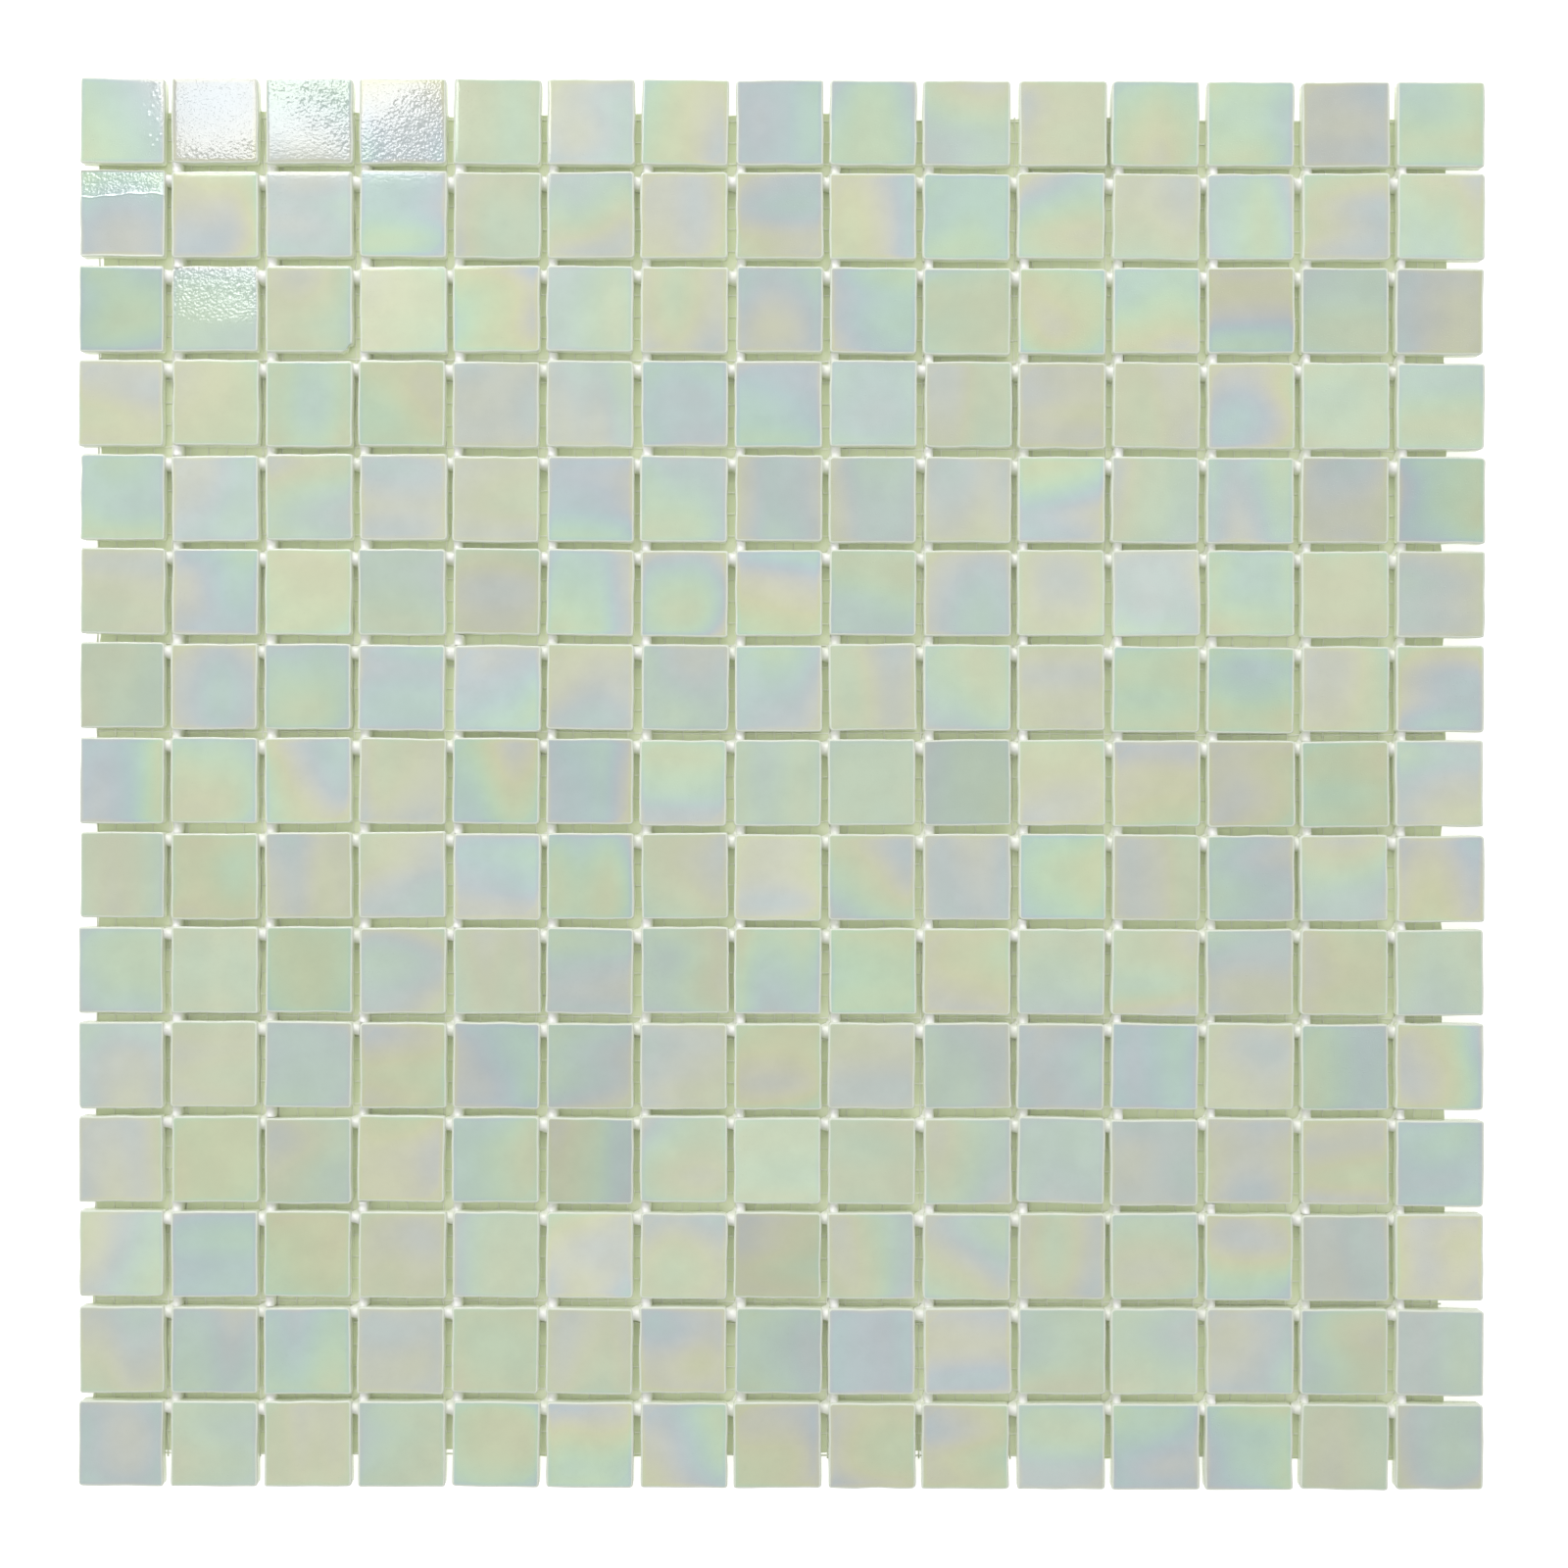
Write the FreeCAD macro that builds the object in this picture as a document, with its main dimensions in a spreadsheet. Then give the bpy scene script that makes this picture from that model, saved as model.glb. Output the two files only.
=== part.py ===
import FreeCAD, Part
import Sketcher
import os

# Sheet of square pressed-glass mosaic tiles, face up on a laid glass-fibre scrim, with a dot of glue
# squeezed up round one tile corner at each crossing of the joints.
# The origin is the middle of the underside. +X runs along the rows, +Y towards the top row, +Z is up.

doc = FreeCAD.newDocument("mosaic_tile_sheet")

SIZES = (
    ("row_count", 15, "rows of tiles"),
    ("column_count", 15, "tiles in a row"),
    ("tile_side", 20.0, "side of a tile at its widest"),
    ("tile_thickness", 4.0, "from a tile's back to its face"),
    ("joint_width", 1.8, "open joint between two tiles at their widest"),
    ("side_draft", 4.0, "degrees by which a tile's sides draw in towards its back"),
    ("edge_cut", 0.65, "softened corners and rim of a tile"),
    ("warp_width", 0.45, "width of a thread that runs up and down the sheet"),
    ("warp_thickness", 0.2, "its thickness"),
    ("warp_pitch", 4.25, "from one warp thread to the next"),
    ("weft_width", 0.4, "width of a thread that runs across the sheet"),
    ("weft_thickness", 0.2, "its thickness"),
    ("weft_pitch", 5.08, "from one weft thread to the next"),
    ("thread_end", 0.8, "from the scrim's edge to the middle of its first thread"),
    ("inset_left", 3.0, "from the left edge of the tiles to the scrim's edge"),
    ("inset_right", 9.0, "the same at the right"),
    ("inset_top", 7.6, "the same at the top"),
    ("inset_bottom", 6.0, "the same at the bottom"),
    ("dot_height", 1.6, "how far a glue dot stands up off the scrim"),
    ("dot_across_start", 0.4, "from a crossing to the dot's near end in the joint across"),
    ("dot_across_end", 3.1, "and to its far end there"),
    ("dot_down_start", 1.9, "from a crossing to the dot's near end in the joint down"),
    ("dot_down_end", 4.6, "and to its far end there"),
)

sizes = doc.addObject("Spreadsheet::Sheet", "sizes")
for line, (alias, value, meaning) in enumerate(SIZES, start=1):
    sizes.set(f"A{line}", meaning)
    sizes.set(f"B{line}", str(value))
    sizes.setAlias(f"B{line}", alias)
doc.recompute()

# A tile is widest just under its softened rim, and draws in from there to its back.
FACE_HALF = "(sizes.tile_side / 2 + sizes.edge_cut * tan(sizes.side_draft))"
BACK_HALF = f"({FACE_HALF} - sizes.tile_thickness * tan(sizes.side_draft))"
# The joint is wider lower down, so a dot that fills it at its top has this half width.
DRAW_IN_AT_DOT = "(sizes.tile_thickness - sizes.edge_cut - sizes.dot_height) * tan(sizes.side_draft)"
DOT_HALF = f"(sizes.joint_width / 2 + {DRAW_IN_AT_DOT})"
# The tiles cover this much, and the scrim behind them stops short of their edges.
FIELD_WIDTH = "(sizes.column_count * (sizes.tile_side + sizes.joint_width) - sizes.joint_width)"
FIELD_LENGTH = "(sizes.row_count * (sizes.tile_side + sizes.joint_width) - sizes.joint_width)"
SCRIM_LEFT = f"(-{FIELD_WIDTH} / 2 + sizes.inset_left)"
SCRIM_RIGHT = f"({FIELD_WIDTH} / 2 - sizes.inset_right)"
SCRIM_FOOT = f"(-{FIELD_LENGTH} / 2 + sizes.inset_bottom)"
SCRIM_HEAD = f"({FIELD_LENGTH} / 2 - sizes.inset_top)"


def size(alias):
    return float(sizes.get(alias))


def bind(thing, expressions):
    for name, expression in expressions.items():
        thing.setExpression(name, expression)


def attach(feature, body, role):
    plane = next(plane for plane in body.Origin.OriginFeatures if plane.Role == role)
    feature.AttachmentSupport = [(plane, "")]
    feature.MapMode = "FlatFace"


def make_tile():
    """A pressed block that draws in towards its back, with softened corners and rim."""
    body = doc.addObject("PartDesign::Body", "tile")
    block = body.newObject("PartDesign::AdditiveWedge", "pressed_block")
    attach(block, body, "XZ_Plane")
    bind(block, {"Ymin": "0", "Ymax": "sizes.tile_thickness"})
    for side in "XZ":
        bind(block, {f"{side}min": f"-{BACK_HALF}", f"{side}max": BACK_HALF})
        bind(block, {f"{side}2min": f"-{FACE_HALF}", f"{side}2max": FACE_HALF})
    doc.recompute()
    face = block.Shape.BoundBox.ZMax
    softened = [
        f"Edge{number}"
        for number, edge in enumerate(block.Shape.Edges, start=1)
        if max(vertex.Z for vertex in edge.Vertexes) > face - 1e-6
    ]
    soft_edges = body.newObject("PartDesign::Chamfer", "soft_edges")
    soft_edges.Base = (block, softened)
    soft_edges.setExpression("Size", "sizes.edge_cut")
    body.Tip = soft_edges
    return body


def make_thread(name, bindings):
    """A flat thread at its place in the scrim's lower left corner."""
    thread = doc.addObject("Part::Box", name)
    bind(thread, bindings)
    return thread


def make_glue_dot():
    """Glue that fills the joints round the corner of the tile below and right of a crossing."""
    corners = (
        ("sizes.dot_across_start", DOT_HALF),
        ("sizes.dot_across_end", DOT_HALF),
        ("sizes.dot_across_end", f"-{DOT_HALF}"),
        (DOT_HALF, f"-{DOT_HALF}"),
        (DOT_HALF, "-sizes.dot_down_end"),
        (f"-{DOT_HALF}", "-sizes.dot_down_end"),
        (f"-{DOT_HALF}", "-sizes.dot_down_start"),
    )
    body = doc.addObject("PartDesign::Body", "glue_dot")
    outline = body.newObject("Sketcher::SketchObject", "dot_outline")
    attach(outline, body, "XY_Plane")
    around = [
        FreeCAD.Vector(*(outline.evalExpression(place) for place in corner))
        for corner in corners
    ]
    for index, start in enumerate(around):
        outline.addGeometry(Part.LineSegment(start, around[(index + 1) % len(around)]))
    for index, corner in enumerate(corners):
        outline.addConstraint(
            Sketcher.Constraint("Coincident", index, 2, (index + 1) % len(corners), 1)
        )
        for kind, place in zip(("DistanceX", "DistanceY"), corner):
            value = outline.evalExpression(place)
            number = outline.addConstraint(Sketcher.Constraint(kind, -1, 1, index, 1, value))
            outline.setExpression(f"Constraints[{number}]", place)
    blob = body.newObject("PartDesign::Pad", "blob")
    blob.Profile = outline
    blob.setExpression("Length", "sizes.dot_height")
    body.Tip = blob
    return body


def centred_places(count, pitch):
    return [(index - (count - 1) / 2) * pitch for index in range(count)]


def places_up_to(length, pitch):
    """Distances from the first thread to each thread that the scrim has room for."""
    return [index * pitch for index in range(int(length / pitch + 1e-6) + 1)]


def add_copies(name, master, places, base):
    """A sub-part of separate copies of the master, each moved by its place and all by the base."""
    part = doc.addObject("Part::Feature", name)
    part.Label = name
    part.Shape = Part.makeCompound([master.Shape.translated(place) for place in places])
    part.Placement = FreeCAD.Placement(base, FreeCAD.Rotation())
    return part


tile = make_tile()
warp_thread = make_thread(
    "warp_thread",
    {
        "Length": "sizes.warp_width",
        "Width": f"{SCRIM_HEAD} - {SCRIM_FOOT}",
        "Height": "sizes.warp_thickness",
        "Placement.Base.x": f"{SCRIM_LEFT} + sizes.thread_end - sizes.warp_width / 2",
        "Placement.Base.y": SCRIM_FOOT,
    },
)
weft_thread = make_thread(
    "weft_thread",
    {
        "Length": f"{SCRIM_RIGHT} - {SCRIM_LEFT}",
        "Width": "sizes.weft_width",
        "Height": "sizes.weft_thickness",
        "Placement.Base.x": SCRIM_LEFT,
        "Placement.Base.y": f"{SCRIM_FOOT} + sizes.thread_end - sizes.weft_width / 2",
    },
)
glue_dot = make_glue_dot()
doc.recompute()

tile_pitch = size("tile_side") + size("joint_width")
scrim_top = size("warp_thickness") + size("weft_thickness")
columns = centred_places(int(size("column_count")), tile_pitch)
rows = centred_places(int(size("row_count")), tile_pitch)
scrim_width = weft_thread.Length.Value
scrim_length = warp_thread.Width.Value

sub_parts = []
for number, row in enumerate(reversed(rows), start=1):
    places = [FreeCAD.Vector(column, 0, 0) for column in columns]
    base = FreeCAD.Vector(0, row, scrim_top)
    sub_parts.append(add_copies(f"tile_row_{number:02d}", tile, places, base))

warp_places = places_up_to(scrim_width - 2 * size("thread_end"), size("warp_pitch"))
sub_parts.append(
    add_copies(
        "scrim_warp",
        warp_thread,
        [FreeCAD.Vector(place, 0, 0) for place in warp_places],
        FreeCAD.Vector(),
    )
)
weft_places = places_up_to(scrim_length - 2 * size("thread_end"), size("weft_pitch"))
sub_parts.append(
    add_copies(
        "scrim_weft",
        weft_thread,
        [FreeCAD.Vector(0, place, 0) for place in weft_places],
        FreeCAD.Vector(0, 0, size("warp_thickness")),
    )
)
crossings = [
    FreeCAD.Vector(column + tile_pitch / 2, row + tile_pitch / 2, 0)
    for column in columns[:-1]
    for row in rows[:-1]
]
sub_parts.append(add_copies("glue_dots", glue_dot, crossings, FreeCAD.Vector(0, 0, scrim_top)))
doc.recompute()

failed = [thing.Name for thing in doc.Objects if {"Invalid", "Error"} & set(thing.State)]
failed += [part.Label for part in sub_parts if part.Shape.isNull() or not part.Shape.isValid()]
if failed:
    raise SystemExit("failed: " + ", ".join(failed))

os.makedirs("parts", exist_ok=True)
for part in sub_parts:
    part.Shape.exportStep(os.path.join("parts", part.Label + ".step"))
    print(part.Label, len(part.Shape.Solids), "solids", round(part.Shape.Volume, 1), "mm3")
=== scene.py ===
import math

import bpy
import numpy as np
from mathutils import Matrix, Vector


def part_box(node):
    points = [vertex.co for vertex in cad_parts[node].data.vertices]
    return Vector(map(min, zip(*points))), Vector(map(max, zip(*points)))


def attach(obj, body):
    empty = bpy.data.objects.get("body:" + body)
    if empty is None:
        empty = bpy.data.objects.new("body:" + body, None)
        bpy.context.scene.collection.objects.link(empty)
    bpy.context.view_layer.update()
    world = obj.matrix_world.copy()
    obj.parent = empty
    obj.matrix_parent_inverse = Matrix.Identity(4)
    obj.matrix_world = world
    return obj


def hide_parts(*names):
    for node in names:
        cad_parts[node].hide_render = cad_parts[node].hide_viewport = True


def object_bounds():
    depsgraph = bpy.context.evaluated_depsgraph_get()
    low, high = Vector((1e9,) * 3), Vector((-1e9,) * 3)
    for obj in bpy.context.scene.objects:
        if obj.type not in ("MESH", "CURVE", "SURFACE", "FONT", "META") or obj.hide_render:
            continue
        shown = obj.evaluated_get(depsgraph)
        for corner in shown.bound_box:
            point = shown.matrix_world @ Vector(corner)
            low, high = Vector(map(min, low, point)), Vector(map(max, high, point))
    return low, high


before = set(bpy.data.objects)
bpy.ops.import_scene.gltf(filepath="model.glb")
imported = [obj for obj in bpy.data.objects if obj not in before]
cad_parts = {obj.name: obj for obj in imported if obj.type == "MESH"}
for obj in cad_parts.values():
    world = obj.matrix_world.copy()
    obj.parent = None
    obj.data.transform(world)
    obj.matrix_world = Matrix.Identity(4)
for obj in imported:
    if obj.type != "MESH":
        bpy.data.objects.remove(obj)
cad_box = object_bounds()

# The tiles are pressed vitreous glass, 20 mm square and 4 mm thick, drawn in towards a ribbed back.
# The face is fired with a thin pearl coat that stops short of the rim. They were laid face down in a
# tray and the scrim glued to their backs, so no two sit quite square or quite level.
MM = 0.001
chance = np.random.default_rng(15)
row_low, row_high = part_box("tile_row_01")
TILE_SIDE = row_high.y - row_low.y
TILE_BACK, TILE_FACE = row_low.z, row_high.z
COLUMNS = ROWS = 15
JOINT = (row_high.x - row_low.x - COLUMNS * TILE_SIDE) / (COLUMNS - 1)
PITCH = TILE_SIDE + JOINT
HALF = TILE_SIDE / 2
RIM = 0.32 * MM
RIM_STEPS = np.radians([0, 22.5, 45, 67.5])
ROLL, ROLL_DROP, ROLL_CELLS = 1.1 * MM, 0.05 * MM, 3
SIDE_DRAFT = math.radians(0.8)
WALL_STEPS = np.array([0.3, 0.65, 0.92])
BACK_BEVEL = 0.2 * MM
BACK_MARGIN = 2.2 * MM
BACK_RIBS, RIB_STRIPS, RIB_DEPTH, RIB_END = 8, 3, 0.3 * MM, 0.6 * MM
PLAIN_CELLS, CHIPPED_CELLS, PIMPLED_CELLS, FINE_CELLS = 7, 30, 60, 112
PEBBLES, PEBBLE_REACH = 2000, 0.27 * MM
# Room kept over a face for what stands up from it.
ROOM_ABOVE = 0.06 * MM
# How far the tray let the sheet run out of true, counted in columns and rows. The leans are slopes.
COLUMN_SAG, SAG_MIDDLE, SAG_REACH = 0.65 * MM, 8.6, 7.6
ROW_RISE, RISE_ENDS, RISE_FALL = 0.4 * MM, 7, 1.1
COLUMNS_LEAN, ROWS_LEAN = -0.0024, 0.001
COLUMNS_CLOSE_UP = 0.05 * MM


def bow_across(column):
    """How far the laid columns sag to the left between the first one and the last one."""
    return -COLUMN_SAG * (1 - abs((column - SAG_MIDDLE) / SAG_REACH) ** 3)


def bow_up(row):
    """How far the rows ride up. They close up again towards the foot of the sheet."""
    past = max(0, (row - RISE_ENDS) / RISE_ENDS)
    return ROW_RISE * (1 - RISE_FALL * past**3)


def tile_lines(cells):
    """Grid lines across a tile: even over the face, close together where it rolls off to the rim."""
    rim_lines = HALF - RIM * (1 - np.cos(RIM_STEPS))
    roll_lines = HALF - np.linspace(RIM, ROLL, ROLL_CELLS + 1)[:-1]
    edge_lines = np.concatenate([rim_lines, roll_lines])
    flat = np.linspace(-(HALF - ROLL), HALF - ROLL, cells + 1)
    return np.concatenate([-edge_lines, flat, edge_lines[::-1]])


def rounded_plan(lines, radii):
    """The grid of a square that has a rounding of its own at each of its four corners, and the
    half width of the square that each point lies on."""
    least = 1e-6
    x, y = np.meshgrid(lines, lines, indexing="ij")
    ring = np.maximum(abs(x), abs(y))
    right, left = np.where(y > 0, radii[0], radii[1]), np.where(y > 0, radii[2], radii[3])
    radius = np.maximum(np.where(x > 0, right, left) - (HALF - ring), least)
    start = ring - radius
    low = np.minimum(abs(x), abs(y))
    turn = np.clip((low - start) / radius, 0, 1) * math.pi / 4
    rounded = low > start
    long_way = np.where(rounded, start + radius * np.cos(turn), ring)
    short_way = np.where(rounded, start + radius * np.sin(turn), low)
    x_leads = abs(x) >= abs(y)
    plan_x = np.where(x_leads, long_way, short_way) * np.sign(x)
    plan_y = np.where(x_leads, short_way, long_way) * np.sign(y)
    return plan_x, plan_y, ring


# The waves of an edge: sizes in mm, rates and starts in radians. They reach in over this share of
# the half width.
EDGE_WAVES, WAVE_SIZES, WAVE_RATES, WAVE_STARTS = 3, (0.02, 0.06), (150, 700), (0, 6.3)
EDGE_BAND = 0.25


def edge_waves():
    """The wander of one pressed edge, as the size, rate and start of a few waves."""
    return [
        (chance.uniform(*WAVE_SIZES) * MM, chance.uniform(*WAVE_RATES), chance.uniform(*WAVE_STARTS))
        for _ in range(EDGE_WAVES)
    ]


def edge_shift(place, other, look, sides, shrink):
    """How far the two edges across one direction wander and draw in, fading towards the middle."""
    near = np.clip((abs(place) / HALF - (1 - EDGE_BAND)) / EDGE_BAND, 0, 1) ** 2
    high, low = (
        sum(size * np.sin(other * rate + start) for size, rate, start in look["waves"][side])
        for side in sides
    )
    return near * (np.where(place > 0, high, -low) - np.sign(place) * shrink)


def sides_of(grid):
    """The points along the four sides of a grid of numbers, once round, each from corner to corner."""
    return grid[:, 0], grid[-1, :], grid[::-1, -1], grid[0, ::-1]


def perimeter(grid):
    return np.concatenate([side[:-1] for side in sides_of(grid)])


def grid_quads(grid):
    corners = [grid[:-1, :-1], grid[1:, :-1], grid[1:, 1:], grid[:-1, 1:]]
    return np.stack(corners, -1).reshape(-1, 4)


def ribbed_back():
    """The ribbed field in the middle of a tile's back, as lines across and heights."""
    reach = HALF - BACK_MARGIN
    across = np.linspace(-reach, reach, 2 * BACK_RIBS + 1)
    along = np.array([-reach, RIB_END - reach, reach - RIB_END, reach])
    x, y = np.meshgrid(across, along, indexing="ij")
    grooves = np.outer(np.arange(len(across)) % 2, (0, 1, 1, 0))
    return np.stack([x, y, TILE_BACK + RIB_DEPTH * grooves], -1)


def tile_shape(look):
    """One tile about its own middle: its points, its quads with the last ones those of its ribs, the
    flat bands round the ribs, and how far each point is off the edge."""
    lines = tile_lines(look["cells"])
    face = np.arange(len(lines) ** 2).reshape(len(lines), len(lines))
    x, y, ring = rounded_plan(lines, look["radii"])
    inside = HALF - ring
    z = TILE_FACE - RIM * (1 - np.sqrt(1 - np.clip(1 - inside / RIM, 0, 1) ** 2))
    z = z - ROLL_DROP * np.clip(1 - inside / ROLL, 0, 1) ** 2
    z = z - look["crown"] * (x**2 + y**2) / HALF**2 / 2 + look["relief"](x, y) * (inside > RIM)
    shift_x = edge_shift(x, y, look, (0, 1), look["shrink_across"])
    shift_y = edge_shift(y, x, look, (2, 3), look["shrink"])
    x, y = x + shift_x, y + shift_y
    x, y = look["break"](x, y)

    edge = perimeter(face)
    rim = np.stack([x.ravel()[edge], y.ravel()[edge]], -1)
    depth = TILE_FACE - RIM - TILE_BACK
    drops = [*(depth * WALL_STEPS), depth]
    draws = math.tan(SIDE_DRAFT) * np.array(drops) + np.array([0, 0, 0, BACK_BEVEL])
    levels = [np.full((len(edge), 1), TILE_FACE - RIM - drop) for drop in drops]
    walls = [np.hstack([rim * (1 - draw / HALF), level]) for draw, level in zip(draws, levels)]
    back = ribbed_back()
    points = np.concatenate([np.stack([x, y, z], -1).reshape(-1, 3), *walls, back.reshape(-1, 3)])

    loops = [edge] + [face.size + k * len(edge) + np.arange(len(edge)) for k in range(len(walls))]
    quads = [grid_quads(face)]
    for upper, lower in zip(loops[:-1], loops[1:]):
        quads.append(np.stack([upper, lower, np.roll(lower, -1), np.roll(upper, -1)], -1))
    field = np.arange(back[..., 0].size).reshape(back.shape[:2]) + len(points) - back[..., 0].size
    quads.append(grid_quads(field)[:, ::-1])
    outline = np.append(loops[-1], loops[-1][0])
    step = len(lines) - 1
    bands = [
        [*inner, *outline[turn * step : (turn + 1) * step + 1][::-1]]
        for turn, inner in enumerate(sides_of(field))
    ]
    off_edge = np.concatenate([inside.ravel(), np.full(len(points) - face.size, -1 * MM)])
    return points, np.concatenate(quads), bands, off_edge


def smooth_face(x, y):
    return np.zeros_like(x)


def whole(x, y):
    return x, y


def pebbled(right, up, start, height):
    """The domes that a hot roller leaves. They grow from nothing towards the right and the top by the
    shares given, and start at that share."""
    grain = np.random.default_rng(4)
    tops = grain.uniform(-HALF, HALF, (PEBBLES, 2))

    def relief(x, y):
        away = np.full_like(x, HALF)
        for top_x, top_y in tops:
            away = np.minimum(away, np.hypot(x - top_x, y - top_y))
        share = np.clip(start + (right * x + up * y) / HALF, 0, 1)
        return -height * share * np.clip(away / PEBBLE_REACH, 0, 2) ** 2

    return relief


def pimpled(x, y):
    """Pinhead bubbles that rose along the right edge."""
    heads, count, height, width = np.random.default_rng(6), 13, 0.07 * MM, 0.2 * MM
    heads_x = heads.uniform(5.8, 8.8, count) * MM
    heads_y = heads.uniform(-6.5, 9, count) * MM
    pimples = np.zeros_like(x)
    for head_x, head_y in zip(heads_x, heads_y):
        away = np.hypot(x - head_x, y - head_y)
        pimples = np.maximum(pimples, height * np.exp(-((away / width) ** 2)))
    return pimples


def raised_line(x, y):
    """A wavy ridge across the face, where two gobs of glass met in the mould. Above it the face falls
    away and has a grain."""
    height, width, sunk, fall = 0.1 * MM, 0.16 * MM, 0.1 * MM, 0.03
    long_wave = 0.5 * MM * np.sin(x / (4.4 * MM) + 0.4)
    short_wave = 0.12 * MM * np.sin(x / (0.9 * MM))
    middle = 4.1 * MM + long_wave + short_wave
    ridge = height * np.exp(-(((y - middle) / width) ** 2))
    beyond = np.clip(y - middle, 0, None)
    grain = pebbled(0, 4, -1.5, 0.02 * MM)(x, y)
    return ridge - sunk - fall * beyond + grain


def blister(x, y):
    """The low ring that a burst bubble left, a little wider than it is tall."""
    height, radius, width, flatness = 0.05 * MM, 0.55 * MM, 0.17 * MM, 1.3
    away = np.hypot(x - 3.0 * MM, (y - 4.3 * MM) * flatness)
    return height * np.exp(-(((away - radius) / width) ** 2))


def broken_corner(x, y):
    """The lower right corner is knocked off, and the break is uneven."""
    reach, roughness, grain = 12.6 * MM, 0.25, 0.4 * MM
    past = np.clip((x - y) / math.sqrt(2) - reach, 0, None)
    rough = 1 + roughness * np.sin((x + y) / grain)
    return x - past * rough / math.sqrt(2), y + past * rough / math.sqrt(2)


def tilted(right, up):
    """A tilt in degrees that lowers the tile's right and its upper edge."""
    return np.radians((right, up))


def grained(right, up, start, height):
    """A tile with a hammered grain, whose height is in mm."""
    return {"cells": FINE_CELLS, "relief": pebbled(right, up, start, height * MM), "hammer": 0.08}


# The tiles that differ from the rest in a way that shows, by row and column from the top left.
ODD_TILES = {
    (1, 1): {
        "tilt": tilted(-0.3, -0.5),
        "cells": PIMPLED_CELLS,
        "relief": pimpled,
        "coat": 0.84,
        "coat_slope": (0.25, 0.0),
        "coat_dome": 0.0,
        "smear": (0.2, 0.4),
    },
    (1, 2): {
        "tilt": tilted(0.0, 0.6),
        "crown": 0.05 * MM,
        "coat": 0.01,
        "coat_slope": (0.0, 0.09),
        "coat_dome": 0.05,
        "coat_strength": 0.95,
        "smear": (0.15, 0.5),
        "shade": 0.84,
        **grained(0.3, -1.1, -0.35, 0.01),
    },
    (1, 3): {
        "tilt": tilted(0.1, 0.2),
        "crown": 0.06 * MM,
        "coat": 0.2,
        "coat_slope": (0.0, -0.08),
        "smear": (0.3, 0.4),
        "shade": 0.86,
        **grained(0.5, 0.6, 0.4, 0.015),
    },
    (1, 4): {
        "tilt": tilted(-0.2, 0.2),
        "coat": 0.99,
        "coat_slope": (-0.06, 0.18),
        "shade": 0.9,
        **grained(0.5, -0.6, 0.6, 0.023),
    },
    (1, 5): {"tilt": tilted(0.5, -0.1), "crown": 0.01 * MM},
    (2, 1): {
        "tilt": tilted(0.3, -0.3),
        "cells": FINE_CELLS,
        "relief": raised_line,
        "coat": 0.06,
        "coat_slope": (0.0, -0.09),
        "smear": (0.2, 0.5),
    },
    (2, 2): {"tilt": tilted(0.0, -0.3)},
    (2, 3): {"tilt": tilted(0.0, -0.2)},
    (2, 4): {"tilt": tilted(0.0, -0.2)},
    (2, 5): {"tilt": tilted(0.5, 0.0), "crown": 0.01 * MM},
    (3, 2): {"tilt": tilted(0.0, 2.0), "coat": 0.88, **grained(0.0, 1.4, 0.5, 0.024)},
    (3, 3): {"cells": CHIPPED_CELLS, "break": broken_corner},
    (14, 14): {"cells": CHIPPED_CELLS, "relief": blister},
}
# How the bands of the coat are drawn out: across the tile, up it, or neither way.
SMEARS = ((0.35, 1.1), (1.1, 0.35), (0.8, 0.8))
# The tiles run wider from column to column, and smaller in the first column and the end rows.
WIDER, WIDER_BY_COLUMN = 0.04, 0.01
FIRST_COLUMN_TRIM, END_ROW_TRIM = 0.3 * MM, 0.1 * MM


def tile_look(row, column):
    """What sets one tile apart: how it sits, how its edges run and how its coat was fired."""
    look = {
        "cells": PLAIN_CELLS,
        "radii": chance.uniform(0.5, 1.05, 4) * MM,
        "crown": chance.uniform(-0.01, 0.08) * MM,
        "waves": [edge_waves() for _ in range(4)],
        "shrink": chance.uniform(0.0, 0.1) * MM,
        "relief": smooth_face,
        "break": whole,
        "shift": np.clip(chance.normal(0, 0.14, 2), -0.3, 0.3) * MM,
        "turn": math.radians(np.clip(chance.normal(0, 0.4), -1, 1)),
        "tilt": np.radians(np.clip(chance.normal(0, 0.25, 2), -0.5, 0.5)),
        "hammer": chance.uniform(0.02, 0.1),
        "coat": chance.uniform(0, 1),
        "coat_slope": chance.normal(0, 0.11, 2),
        "coat_dome": chance.normal(0, 0.08),
        "coat_strength": chance.uniform(0.5, 0.98),
        "smear": SMEARS[chance.integers(len(SMEARS))],
        "shade": chance.normal(0.955, 0.052),
        "smear_at": chance.uniform(0, 50),
    }
    widening = (WIDER + WIDER_BY_COLUMN * column) * MM
    look["shrink_across"] = look["shrink"] - widening + FIRST_COLUMN_TRIM * (column == 1)
    look["shrink"] += END_ROW_TRIM * (row in (1, ROWS))
    look.update(ODD_TILES.get((row, column), {}))
    return look


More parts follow.
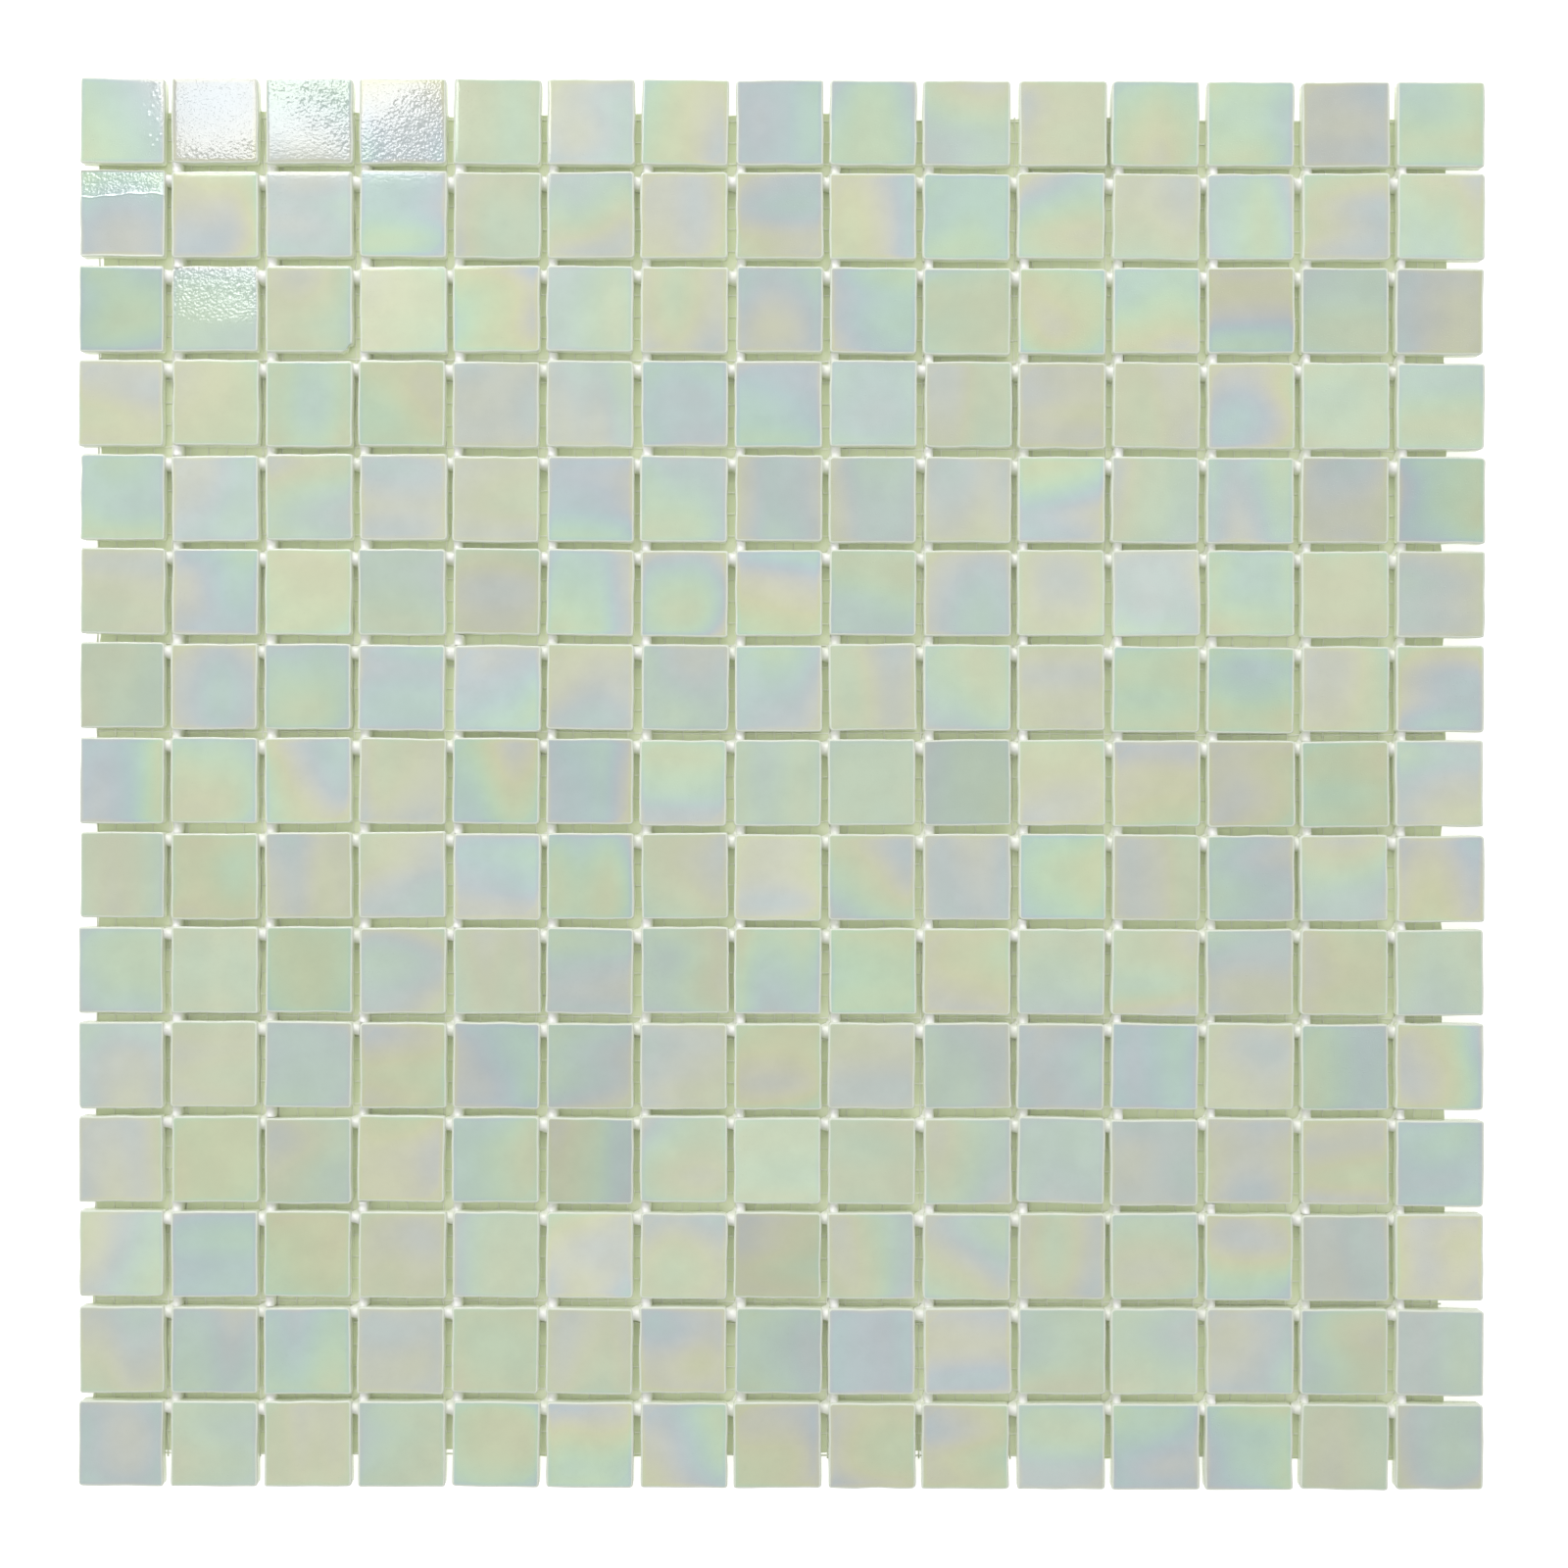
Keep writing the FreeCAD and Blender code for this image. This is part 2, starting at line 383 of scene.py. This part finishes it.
def lay_tile(row, column, centre_y):
    """One tile in its place in the sheet, with the numbers that its glaze reads at each point. It is
    moved back where it would pass the edge of the sheet."""
    look = tile_look(row, column)
    points, quads, bands, off_edge = tile_shape(look)
    x, y, z = points.T
    u, v = x / HALF, y / HALF
    height = (z - TILE_BACK) / (TILE_FACE - TILE_BACK)
    lean = -x * math.tan(look["tilt"][0]) - y * math.tan(look["tilt"][1])
    z = z + height * (lean - abs(lean).max() - ROOM_ABOVE - max(0, -look["crown"]))
    cos, sin = math.cos(look["turn"]), math.sin(look["turn"])
    x, y = x * cos - y * sin, x * sin + y * cos
    centre_x = (column - (COLUMNS + 1) / 2) * (PITCH - COLUMNS_CLOSE_UP)
    x = x + centre_x + bow_across(column) + COLUMNS_LEAN * centre_y + look["shift"][0]
    y = y + centre_y + bow_up(row) + ROWS_LEAN * centre_x + look["shift"][1]
    for place, low, high in ((x, cad_box[0].x, cad_box[1].x), (y, cad_box[0].y, cad_box[1].y)):
        place += max(0, low - place.min()) - max(0, place.max() - high)
    across, up = look["smear"]
    coat = look["coat"] + look["coat_slope"][0] * u + look["coat_slope"][1] * v
    coat = coat + look["coat_dome"] * (u**2 + v**2)
    even = np.ones(len(x))
    glaze = {
        "coat_thickness": coat,
        "coat_strength": look["coat_strength"] * even,
        "off_edge": off_edge / MM,
        "hammering": look["hammer"] * even,
        "glass_shade": look["shade"] * even,
        "smear_place": np.stack([u * across, v * up, look["smear_at"] * even], -1),
    }
    return {"points": np.stack([x, y, z], -1), "quads": quads, "bands": bands, "glaze": glaze}


def add_mesh(name, points, faces):
    mesh = bpy.data.meshes.new(name)
    mesh.from_pydata(np.asarray(points).tolist(), [], [list(face) for face in faces])
    mesh.polygons.foreach_set("use_smooth", [True] * len(mesh.polygons))
    mesh.update()
    piece = bpy.data.objects.new(name, mesh)
    bpy.context.scene.collection.objects.link(piece)
    return piece


def add_numbers(piece, name, values):
    """Stores a number or a vector for each point of the mesh, for its material to read."""
    kind, field = ("FLOAT", "value") if values.ndim == 1 else ("FLOAT_VECTOR", "vector")
    attribute = piece.data.attributes.new(name, kind, "POINT")
    attribute.data.foreach_set(field, values.astype(np.float32).ravel())


def seen_as(red, green, blue):
    """A colour as a screen shows it, from 0 to 255, in the numbers that a shader wants."""
    shares = [value / 255 for value in (red, green, blue)]
    return [s / 12.92 if s <= 0.04045 else ((s + 0.055) / 1.055) ** 2.4 for s in shares] + [1.0]


class Finish:
    """A material, and a short way to write its nodes."""

    def __init__(self, name):
        self.material = bpy.data.materials.new(name)
        self.material.use_nodes = True
        self.tree = self.material.node_tree
        self.tree.nodes.clear()

    def add(self, kind, inputs=(), **settings):
        node = self.tree.nodes.new("ShaderNode" + kind)
        for setting, value in settings.items():
            setattr(node, setting, value)
        for socket, value in dict(inputs).items():
            if isinstance(value, bpy.types.NodeSocket):
                self.tree.links.new(value, node.inputs[socket])
            else:
                node.inputs[socket].default_value = value
        return node

    def read(self, name, output="Fac"):
        return self.add("Attribute", attribute_name=name).outputs[output]

    def place(self):
        return self.add("TexCoord").outputs["Object"]

    def math(self, operation, first, second=0.0, third=0.0):
        return self.add("Math", {0: first, 1: second, 2: third}, operation=operation).outputs[0]

    def span(self, value, low, high, to_low=0.0, to_high=1.0):
        """Maps low..high to to_low..to_high along a soft curve, and holds it outside."""
        inputs = {0: value, 1: low, 2: high, 3: to_low, 4: to_high}
        return self.add("MapRange", inputs, interpolation_type="SMOOTHSTEP").outputs[0]

    def noise(self, place, scale, detail=2.0, roughness=0.5):
        inputs = {"Vector": place, "Scale": scale, "Detail": detail, "Roughness": roughness}
        return self.add("TexNoise", inputs).outputs["Fac"]

    def ramp(self, value, stops):
        node = self.add("ValToRGB", {0: value})
        while len(node.color_ramp.elements) < len(stops):
            node.color_ramp.elements.new(1.0)
        for element, (position, colour) in zip(node.color_ramp.elements, stops):
            element.position = position
            element.color = colour
        return node.outputs[0]

    def mix(self, share, first, second):
        return self.add("Mix", {0: share, 6: first, 7: second}, data_type="RGBA").outputs[2]

    def bump(self, relief, strength, height, over=None):
        """The relief as a bump of this height in metres, over another bump if there is one."""
        inputs = {"Strength": strength, "Distance": height, "Height": relief}
        if over is not None:
            inputs["Normal"] = over
        return self.add("Bump", inputs).outputs[0]

    def shine(self, shader):
        self.add("OutputMaterial", {"Surface": shader.outputs[0]})
        return self.material


# The pearl coat shows the colours of a thin film, one after the other as it gets thicker.
PEARL_COLOURS = (
    (0.00, seen_as(208, 211, 167)),
    (0.13, seen_as(201, 215, 170)),
    (0.30, seen_as(189, 219, 183)),
    (0.44, seen_as(180, 213, 196)),
    (0.57, seen_as(177, 203, 204)),
    (0.68, seen_as(184, 197, 203)),
    (0.79, seen_as(197, 201, 194)),
    (0.90, seen_as(206, 207, 180)),
    (1.00, seen_as(208, 211, 167)),
)
MILKY_GLASS = seen_as(199, 209, 188)
# The bare rim and walls keep the pale green of the glass but are painted near white, a painted glow for
# the light that comes through it: whiter up the wall, greener at the foot.
RIM_GLASS_AND_GLOW = seen_as(230, 236, 222)
WALL_GLASS_AND_GLOW = seen_as(250, 254, 236)
FOOT_GLASS_AND_GLOW = seen_as(240, 250, 212)
WALL_MIDDLE, WALL_TOP = 2.2 * MM, 3.7 * MM
# Where the coat gives out and where it is thicker, in mm off the tile's edge.
COAT_EDGE, THICK_EDGE, BUILD_UP = (0.3, 0.57), (0.5, 1.6), 0.12
SMEAR_SCALE, SMEAR_DEPTH = 0.62, 1.25
CLOUD_SCALE, HAMMER_SCALE, SPECK_SCALE = 110.0, 1250.0, 2600.0
HAMMER_HEIGHT, SPECK_HEIGHT = 0.12 * MM, 0.06 * MM


def pearl_glass():
    """Milky glass with the pearl coat on its face. Its walls and bare rim are painted greener towards
    the foot and whiter towards the top, a painted glow for the light that comes through the glass.
    """
    glaze = Finish("pearl_glass")
    place = glaze.place()
    off_edge = glaze.read("off_edge")
    smear = glaze.noise(glaze.read("smear_place", "Vector"), SMEAR_SCALE, 0.6, 0.35)
    thickness = glaze.math("MULTIPLY_ADD", smear, SMEAR_DEPTH, glaze.read("coat_thickness"))
    build_up = glaze.span(off_edge, *THICK_EDGE, BUILD_UP, 0.0)
    thickness = glaze.math("ADD", thickness, build_up)
    pearl = glaze.ramp(glaze.math("FRACT", thickness), PEARL_COLOURS)
    pearl = glaze.mix(glaze.read("coat_strength"), MILKY_GLASS, pearl)
    cloudy = glaze.span(glaze.noise(place, CLOUD_SCALE, 3.0), 0.3, 0.7, 0.96, 1.04)
    shade = glaze.math("MULTIPLY", glaze.read("glass_shade"), cloudy)
    shaded = glaze.add("VectorMath", {0: pearl, 3: shade}, operation="SCALE").outputs[0]

    height = glaze.add("SeparateXYZ", {0: place}).outputs[2]
    # Painted glow: the walls and rim whiten from the foot to the top, for light through the glass.
    wall_glow = glaze.mix(glaze.span(height, TILE_BACK, WALL_MIDDLE), FOOT_GLASS_AND_GLOW, WALL_GLASS_AND_GLOW)
    rim_and_wall_glow = glaze.mix(glaze.span(height, WALL_MIDDLE, WALL_TOP), wall_glow, RIM_GLASS_AND_GLOW)
    cover = glaze.span(off_edge, *COAT_EDGE)
    colour = glaze.mix(cover, rim_and_wall_glow, shaded)

    hammer = glaze.noise(place, HAMMER_SCALE, 2.0, 0.55)
    strength = glaze.math("MULTIPLY", glaze.read("hammering"), cover)
    bump = glaze.bump(hammer, strength, HAMMER_HEIGHT)
    specks = glaze.span(glaze.noise(place, SPECK_SCALE, 1.0), 0.65, 0.7)
    bump = glaze.bump(specks, 0.7, SPECK_HEIGHT, bump)
    return glaze.shine(
        glaze.add(
            "BsdfPrincipled",
            {
                "Base Color": colour,
                "Roughness": 0.2,
                "IOR": 1.52,
                "Coat Weight": cover,
                "Coat Roughness": 0.05,
                "Coat IOR": 1.9,
                "Sheen Weight": 0.35,
                "Sheen Roughness": 0.4,
                "Normal": bump,
                "Coat Normal": bump,
            },
        )
    )


PEARL_GLASS = pearl_glass()
row_nodes = sorted(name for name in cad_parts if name.startswith("tile_row_"))
for row, node in enumerate(row_nodes, start=1):
    low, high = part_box(node)
    tiles = [lay_tile(row, column, (low.y + high.y) / 2) for column in range(1, COLUMNS + 1)]
    starts = np.cumsum([0] + [len(tile["points"]) for tile in tiles[:-1]])
    quads = np.concatenate([tile["quads"] + start for tile, start in zip(tiles, starts)])
    bands = [np.array(band) + start for tile, start in zip(tiles, starts) for band in tile["bands"]]
    points = np.concatenate([tile["points"] for tile in tiles])
    piece = add_mesh(f"glass_tiles_{row:02d}", points, [*quads, *bands])
    rib_quads = 2 * BACK_RIBS * RIB_STRIPS
    smooth = [np.arange(len(tile["quads"])) < len(tile["quads"]) - rib_quads for tile in tiles]
    smooth = np.concatenate([*smooth, np.full(len(bands), False)])
    piece.data.polygons.foreach_set("use_smooth", smooth)
    for numbers in tiles[0]["glaze"]:
        add_numbers(piece, numbers, np.concatenate([tile["glaze"][numbers] for tile in tiles]))
    piece.data.materials.append(PEARL_GLASS)
    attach(piece, "root")
    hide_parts(node)

# The scrim behind the tiles is an open leno cloth of glass-fibre yarn. Each straight ground yarn lies
# under the picks, and a crossing yarn goes over every pick and under the ground yarn in between, on
# its other side each time, so that the picks are locked.
WARP_PITCH, PICK_PITCH = 4.25 * MM, 5.08 * MM
YARN_HALF_HEIGHT = 0.065 * MM
PICK_LEVEL = 0.2 * MM
LAYER = 0.135 * MM
YARN_HALF_WIDTH = 0.14 * MM
PICK_HALF_WIDTH = 0.22 * MM
YARN_SIDES, PICK_SIDES = 5, 6
YARN_DRIFT, PICK_DRIFT = 0.12 * MM, 0.14 * MM
DRIFT_WAVES, DRIFT_RATES = 3, (20, 90)
LEFT_TRIM = 0.8 * MM
FIBRE_HEIGHT = 0.03 * MM
warp_low, warp_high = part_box("scrim_warp")
weft_low, weft_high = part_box("scrim_weft")


def spaced(low, high, pitch):
    """The places of the threads between two edges. A thread is about a tenth of its pitch wide."""
    thread_width = 0.1
    count = round((high - low) / pitch - thread_width) + 1
    return (low + high) / 2 + (np.arange(count) - (count - 1) / 2) * pitch


warp_places = spaced(warp_low.x, warp_high.x, WARP_PITCH)
pick_places = spaced(weft_low.y, weft_high.y, PICK_PITCH)
warp_count, pick_count = len(warp_places), len(pick_places)


def spun(lines, across, half_width, half_height, sides):
    """Flattened yarns round lines of points, with closed ends. across is the way their width runs."""
    turns = 2 * math.pi * (np.arange(sides) + 0.5) / sides
    wide = np.outer(np.cos(turns) * half_width, across)
    high = np.outer(np.sin(turns) * half_height, (0, 0, 1))
    rings = lines[:, :, None, :] + (wide + high)
    count, length = lines.shape[:2]
    numbers = np.arange(count * length * sides).reshape(count, length, sides)
    next_round = np.roll(numbers, -1, -1)
    corners = [numbers[:, :-1], numbers[:, 1:], next_round[:, 1:], next_round[:, :-1]]
    faces = np.stack(corners, -1).reshape(-1, 4)
    if np.cross(across, (0, 0, 1)) @ (lines[0, 1] - lines[0, 0]) > 0:
        faces, ends = faces[:, ::-1], (numbers[:, 0, ::-1], numbers[:, -1])
    else:
        ends = (numbers[:, 0], numbers[:, -1, ::-1])
    return rings.reshape(-1, 3), [*faces, *ends[0], *ends[1]]


def wander(count, places, size):
    """A slow sideways drift for each yarn, as no yarn lies dead straight."""
    drift = np.zeros((count, len(places)))
    for _ in range(DRIFT_WAVES):
        rates = chance.uniform(*DRIFT_RATES, (count, 1))
        drift += size / 2 * np.sin(places[None, :] * rates + chance.uniform(*WAVE_STARTS, (count, 1)))
    return drift


def up_the_sheet(steps):
    """Places along a warp yarn, in picks from the first one, with its two ends beyond the last picks."""
    first = (warp_low.y - pick_places[0]) / PICK_PITCH
    last = (warp_high.y - pick_places[0]) / PICK_PITCH
    return np.concatenate([[first], np.arange(0, (pick_count - 1) * steps + 1) / steps, [last]])


# A ground yarn bends once between two picks, and a crossing yarn needs twice the steps to weave.
ground_steps, crossing_steps = up_the_sheet(2), up_the_sheet(4)
warp_drift = wander(warp_count, pick_places[0] + crossing_steps * PICK_PITCH, YARN_DRIFT)


def warp_lines(steps, sideways, level):
    """The yarns of one kind, which drift as one with those of the other kind."""
    drift = np.array([np.interp(steps, crossing_steps, line) for line in warp_drift])
    x = warp_places[:, None] + drift + sideways
    y = np.broadcast_to(pick_places[0] + steps * PICK_PITCH, x.shape)
    return np.stack([x, y, np.broadcast_to(level, x.shape)], -1)


def scrim_yarn(name, lean):
    """Bleached glass fibre in a milky binder. The lean draws its fibres out along the yarn."""
    yarn = Finish(name)
    place = yarn.add("Mapping", {"Vector": yarn.place(), "Scale": lean}).outputs[0]
    fibres = yarn.noise(place, 1.0, 3.0, 0.6)
    colour = yarn.mix(yarn.span(fibres, 0.3, 0.7), seen_as(250, 251, 240), seen_as(254, 254, 251))
    bump = yarn.bump(fibres, 0.6, FIBRE_HEIGHT)
    inputs = {"Base Color": colour, "Roughness": 0.45, "IOR": 1.5, "Normal": bump}
    return yarn.shine(yarn.add("BsdfPrincipled", inputs))


WARP_YARN = scrim_yarn("warp_yarn", (9000, 900, 9000))
PICK_YARN = scrim_yarn("pick_yarn", (900, 9000, 9000))
ground_level = PICK_LEVEL - LAYER + (LAYER / 2) * (1 - np.cos(2 * math.pi * ground_steps))
crossing_side = YARN_HALF_WIDTH * np.cos(math.pi * crossing_steps)
crossing_level = PICK_LEVEL + LAYER * np.cos(2 * math.pi * crossing_steps)
pick_y = pick_places[:, None] + wander(pick_count, warp_places, PICK_DRIFT)
scrim_left = weft_low.x + LEFT_TRIM
pick_x = np.broadcast_to(np.linspace(scrim_left, weft_high.x, warp_count), pick_y.shape)
pick_lines = np.stack([pick_x, pick_y, np.full(pick_y.shape, PICK_LEVEL)], -1)
ground_lines = warp_lines(ground_steps, 0.0, ground_level)
crossing_lines = warp_lines(crossing_steps, crossing_side, crossing_level)
YARNS = (
    ("ground_yarns", ground_lines, (1, 0, 0), YARN_HALF_WIDTH, YARN_SIDES),
    ("crossing_yarns", crossing_lines, (1, 0, 0), YARN_HALF_WIDTH, YARN_SIDES),
    ("picks", pick_lines, (0, 1, 0), PICK_HALF_WIDTH, PICK_SIDES),
)
for name, lines, across, half_width, sides in YARNS:
    lines[..., 2] = np.clip(lines[..., 2], YARN_HALF_HEIGHT, TILE_BACK - YARN_HALF_HEIGHT)
    piece = add_mesh(name, *spun(lines, across, half_width, YARN_HALF_HEIGHT, sides))
    piece.data.materials.append(PICK_YARN if name == "picks" else WARP_YARN)
    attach(piece, "root")
    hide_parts("scrim_weft" if name == "picks" else "scrim_warp")

# The glue is a white hot melt that was dotted on the scrim at each crossing of the joints. It was
# squeezed up round the corner of one tile and set with a hollow top that climbs the tiles' walls.
GLUE_ACROSS = np.linspace(0, 1, 7)
GLUE_FOOT = 0.25 * MM
GLUE_LIMIT = TILE_FACE - 0.5 * MM
# The two edges of a dot's plan from its end in the joint across to its end in the joint down, in mm,
# and how high it stands there: first the edge by the tile that it holds, then the other.
GLUE_PLAN = np.array([
    (3.60, -1.3, 3.50, 1.3, 0.10),
    (3.40, -1.3, 3.30, 1.3, 1.80),
    (3.10, -1.3, 3.00, 1.3, 3.00),
    (2.20, -1.3, 2.10, 1.3, 3.40),
    (1.35, -1.3, 1.25, 1.3, 3.30),
    (1.25, -1.4, 1.10, 0.9, 1.00),
    (1.50, -1.5, 0.80, 0.0, 0.35),
    (1.55, -1.6, 0.65, -0.7, 0.25),
    (1.45, -1.7, 0.10, -1.2, 0.40),
    (1.35, -1.8, -1.10, -1.5, 2.10),
    (1.30, -2.1, -1.30, -1.8, 3.00),
    (1.30, -3.1, -1.30, -2.7, 3.20),
    (1.30, -4.3, -1.30, -3.8, 2.90),
    (1.30, -4.8, -1.30, -4.2, 1.80),
    (1.30, -5.2, -1.30, -4.5, 0.10),
])
GLUE_STEPS = len(GLUE_PLAN)
# How the top runs across a dot: hollow along its arms, and falling to its open side round the corner,
# which lies near this step of the plan.
ARM_TOP = 0.9 + 0.28 * (2 * GLUE_ACROSS - 1) ** 2
CORNER_TOP = np.clip(1.3 - GLUE_ACROSS * 1.3, 0.05, 1)
CORNER_STEP, CORNER_REACH = 6.8, 2.4
DOT_HEIGHTS, DOT_SPREADS, DOT_UNEVENNESS = (0.8, 1.12), (0.88, 1.05), 0.04
THINNEST = 0.1
MOTTLE_HEIGHT = 0.08 * MM


def glue_dot(x, y):
    """One dot round the crossing at x, y: rings across it, each a hollow top over a flat foot."""
    rise = chance.uniform(*DOT_HEIGHTS)
    plan = GLUE_PLAN + chance.normal(0, DOT_UNEVENNESS, GLUE_PLAN.shape)
    plan[:, :4] *= chance.uniform(*DOT_SPREADS)
    near, far = plan[:, None, 0:2] * MM, plan[:, None, 2:4] * MM
    share = GLUE_ACROSS[None, :, None]
    flat = near + (far - near) * share
    at_corner = np.clip(1 - abs(np.arange(GLUE_STEPS) - CORNER_STEP) / CORNER_REACH, 0, 1)[:, None]
    shape = ARM_TOP * (1 - at_corner) + CORNER_TOP * at_corner
    tops = GLUE_FOOT + shape * np.clip(plan[:, 4:5], THINNEST, None) * rise * MM
    top = np.concatenate([flat, np.minimum(tops, GLUE_LIMIT)[..., None]], -1)
    foot = np.concatenate([top[:, [-1, 0], :2], np.full((GLUE_STEPS, 2, 1), GLUE_FOOT)], -1)
    return np.concatenate([top, foot], 1).reshape(-1, 3) + (x, y, 0)


ring = len(GLUE_ACROSS) + 2
numbers = np.arange(GLUE_STEPS * ring).reshape(GLUE_STEPS, ring)
around = [numbers[:-1], np.roll(numbers[:-1], -1, 1), np.roll(numbers[1:], -1, 1), numbers[1:]]
dot_faces = [*np.stack(around, -1).reshape(-1, 4), numbers[0, ::-1], numbers[-1]]
dots, faces = [], []
for column in range(1, COLUMNS):
    for row in range(1, ROWS):
        faces += [face + len(dots) * GLUE_STEPS * ring for face in dot_faces]
        crossing_x = (column - COLUMNS / 2) * PITCH
        crossing_y = (ROWS / 2 - row) * PITCH
        dot_x = crossing_x + bow_across(column + 0.5) + COLUMNS_LEAN * crossing_y
        dot_y = crossing_y + bow_up(row + 0.5) + ROWS_LEAN * crossing_x
        dots.append(glue_dot(dot_x, dot_y))
glue = add_mesh("glue", np.concatenate(dots), faces)
white = Finish("white_glue")
mottle = white.noise(white.place(), 700.0, 3.0, 0.6)
bump = white.bump(mottle, 0.5, MOTTLE_HEIGHT)
colour = white.mix(white.span(mottle, 0.3, 0.7), seen_as(246, 248, 240), seen_as(253, 253, 250))
melt = white.add("BsdfPrincipled", {"Base Color": colour, "Roughness": 0.25, "Normal": bump})
glue.data.materials.append(white.shine(melt))
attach(glue, "root")
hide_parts("glue_dots")

# The table is plain white card, and shows bright all round the sheet. Under the sheet only the light
# between the tiles reaches it. There the card is painted the green of the light that comes through the
# glass, with a faint painted glow of it. That patch ends where the scrim was cut, a little raggedly.
TABLE_REACH = 3
TABLE_WHITE, TABLE_GLOW = (0.92, 0.92, 0.92, 1), (0.62, 0.62, 0.62, 1)
# Painted light: the card's green under the sheet and its faint glow stand in for light through the
# glass.
PAINTED_GREEN_LIGHT, PAINTED_GLASS_GLOW = seen_as(241, 246, 222), (0.02, 0.02, 0.02, 1)
FOOT_TRIM, RAGGED = 0.9 * MM, 1.0 * MM
card_corners = [(-1, -1, 0), (1, -1, 0), (1, 1, 0), (-1, 1, 0)]
table = add_mesh("table", TABLE_REACH * np.array(card_corners), [(0, 1, 2, 3)])
card = Finish("white_card")
spot = card.add("SeparateXYZ", {0: card.place()})
covered = ((scrim_left, weft_high.x), (warp_low.y + FOOT_TRIM, warp_high.y))
ragged = card.span(card.noise(card.place(), 28.0, 2.0), 0.3, 0.7, -RAGGED, RAGGED)
beyond = []
for axis, (low, high) in enumerate(covered):
    off_middle = card.math("ABSOLUTE", card.math("SUBTRACT", spot.outputs[axis], (low + high) / 2))
    beyond.append(card.math("GREATER_THAN", card.math("ADD", off_middle, ragged), (high - low) / 2))
path = card.add("LightPath")
looked_at = card.math("MAXIMUM", path.outputs["Is Camera Ray"], path.outputs["Is Glossy Ray"])
looked_at = card.math("MAXIMUM", looked_at, path.outputs["Is Transmission Ray"])
open_table = card.math("MAXIMUM", *beyond)
# Under the sheet a painted glow and a painted green of light through the glass; elsewhere plain white.
lift = card.mix(open_table, PAINTED_GLASS_GLOW, TABLE_GLOW)
glow = card.add("Emission", {"Color": lift, "Strength": looked_at})
lit = card.add("BsdfDiffuse", {"Color": card.mix(open_table, PAINTED_GREEN_LIGHT, TABLE_WHITE)})
table.data.materials.append(card.shine(card.add("AddShader", {0: lit.outputs[0], 1: glow.outputs[0]})))

# A tall narrow softbox leans over the top of the sheet, a little to the left, and shows in the tiles
# there. A wide one stands behind it and a white board on the left.
def add_softbox(name, place, facing, width, length, brightness):
    lamp = bpy.data.lights.new(name, "AREA")
    lamp.shape = "RECTANGLE"
    lamp.size, lamp.size_y = width, length
    lamp.energy = brightness * math.pi * width * length
    box = bpy.data.objects.new(name, lamp)
    bpy.context.scene.collection.objects.link(box)
    box.location = place
    box.rotation_euler = Vector(facing).to_track_quat("-Z", "Y").to_euler()


for name, place, facing, width, length, brightness in (
    ("narrow_softbox", (-0.383, 0.902, 0.91), (0, -0.84, -0.55), 0.233, 1.43, 3.7),
    ("wide_softbox", (-0.1, 1.25, 1.0), (0.1, -1.25, -1.0), 1.2, 0.8, 2.8),
    ("white_board", (-1.3, 0.0, 1.1), (1.3, 0, -1.1), 1.0, 1.2, 0.5),
):
    add_softbox(name, place, facing, width, length, brightness)

# The room is white. What looks at it sees it at full white, and the sheet is lit by less of it, most
# from overhead and least from near the floor.
LOW_LIGHT, HIGH_LIGHT = 0.33, 0.66
world = bpy.data.worlds.new("studio")
bpy.context.scene.world = world
world.use_nodes = True
sky = world.node_tree
path = sky.nodes.new("ShaderNodeLightPath")
looked_at = path.outputs["Is Camera Ray"]
for kind in ("Is Glossy Ray", "Is Transmission Ray"):
    either = sky.nodes.new("ShaderNodeMath")
    either.operation = "MAXIMUM"
    sky.links.new(looked_at, either.inputs[0])
    sky.links.new(path.outputs[kind], either.inputs[1])
    looked_at = either.outputs[0]
direction = sky.nodes.new("ShaderNodeTexCoord")
upward = sky.nodes.new("ShaderNodeSeparateXYZ")
overhead = sky.nodes.new("ShaderNodeMapRange")
overhead.interpolation_type = "SMOOTHSTEP"
overhead.inputs["To Min"].default_value = LOW_LIGHT
overhead.inputs["To Max"].default_value = HIGH_LIGHT
sky.links.new(direction.outputs["Generated"], upward.inputs[0])
sky.links.new(upward.outputs[2], overhead.inputs["Value"])
strength = sky.nodes.new("ShaderNodeMapRange")
strength.inputs["To Max"].default_value = 1.0
sky.links.new(overhead.outputs[0], strength.inputs["To Min"])
sky.links.new(looked_at, strength.inputs["Value"])
sky.links.new(strength.outputs[0], sky.nodes["Background"].inputs["Strength"])
sky.nodes["Background"].inputs["Color"].default_value = (1, 1, 1, 1)

# The camera looks straight down on the sheet from well over half a metre. The sheet lies a little
# askew under it and off its middle, and fills the frame but for a margin all round.
CAMERA_HEIGHT = 0.6
CAMERA_ASIDE, CAMERA_TURN = 0.62 * MM, math.radians(0.2)
FRAME_WIDTH = 0.3617
camera = bpy.data.objects.new("camera", bpy.data.cameras.new("camera"))
bpy.context.scene.collection.objects.link(camera)
camera.location = (CAMERA_ASIDE, 0.0, TILE_FACE + CAMERA_HEIGHT)
camera.rotation_euler = (0.0, 0.0, CAMERA_TURN)
camera.data.sensor_width = 36.0
camera.data.lens = camera.data.sensor_width * CAMERA_HEIGHT / FRAME_WIDTH
camera.data.clip_start = 0.01
bpy.context.scene.camera = camera
bpy.context.scene.view_settings.view_transform = "Standard"
bpy.context.scene.cycles.diffuse_bounces = 8
